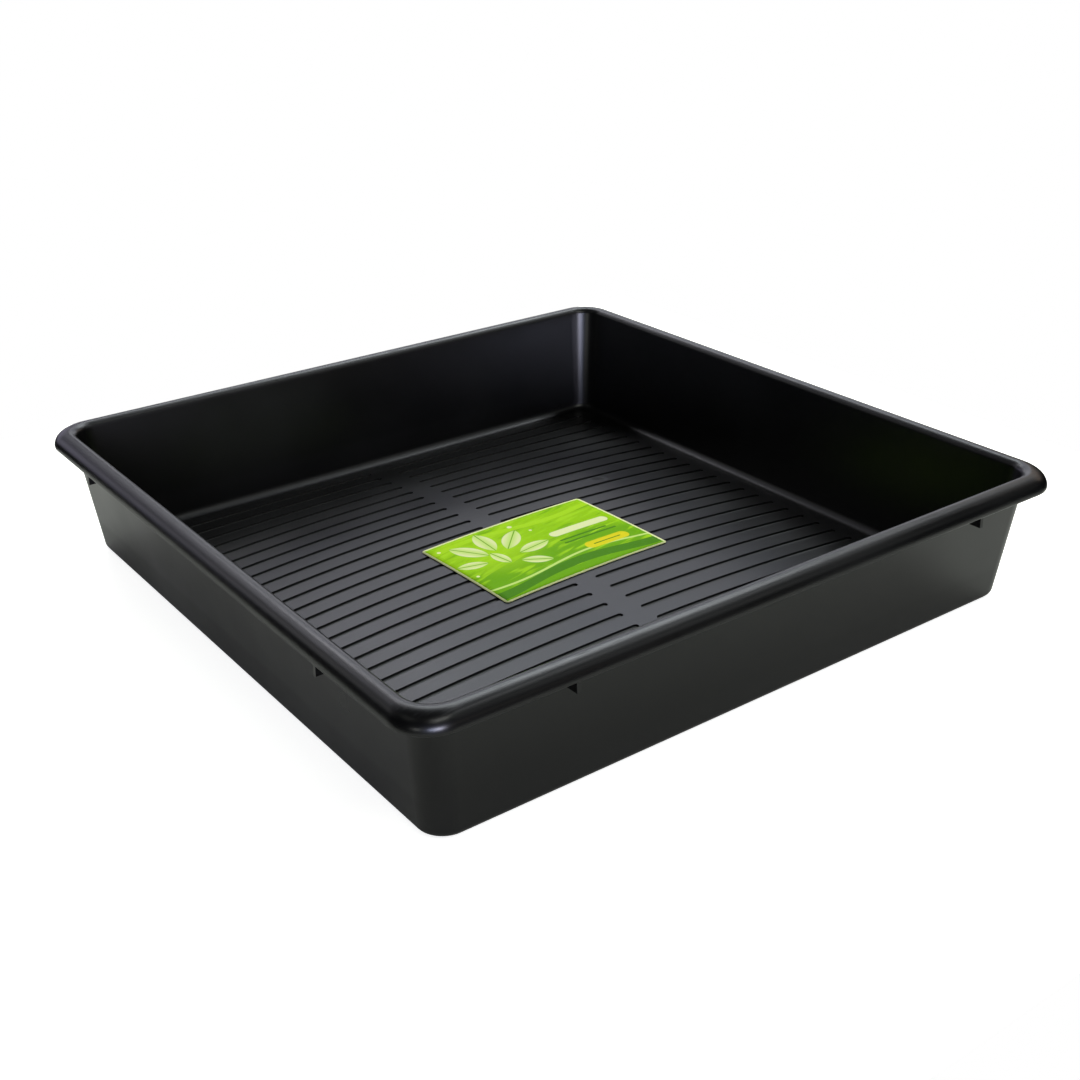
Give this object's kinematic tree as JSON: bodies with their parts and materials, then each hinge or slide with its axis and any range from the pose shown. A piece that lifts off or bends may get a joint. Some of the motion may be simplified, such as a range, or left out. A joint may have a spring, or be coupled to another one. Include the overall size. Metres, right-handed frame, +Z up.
{
  "type": "watering tray",
  "caption": "Square black moulded tray with leaning walls, a rolled turned-down rim, a crowned floor with two banks of round-ended grooves, and a printed card lying on it",
  "frame": {"origin": "middle of the surface the tray stands on", "axes": "+Z up; +X runs along the grooves; +Y runs along the plain strip between the two banks of grooves"},
  "size_m": [0.6, 0.6, 0.11],
  "materials": {
    "black_plastic": "satin moulded black plastic",
    "printed_card": null
  },
  "bodies": {
    "root": {"tray_moulding": "black_plastic", "printed_card": "printed_card"}
  },
  "joints": []
}
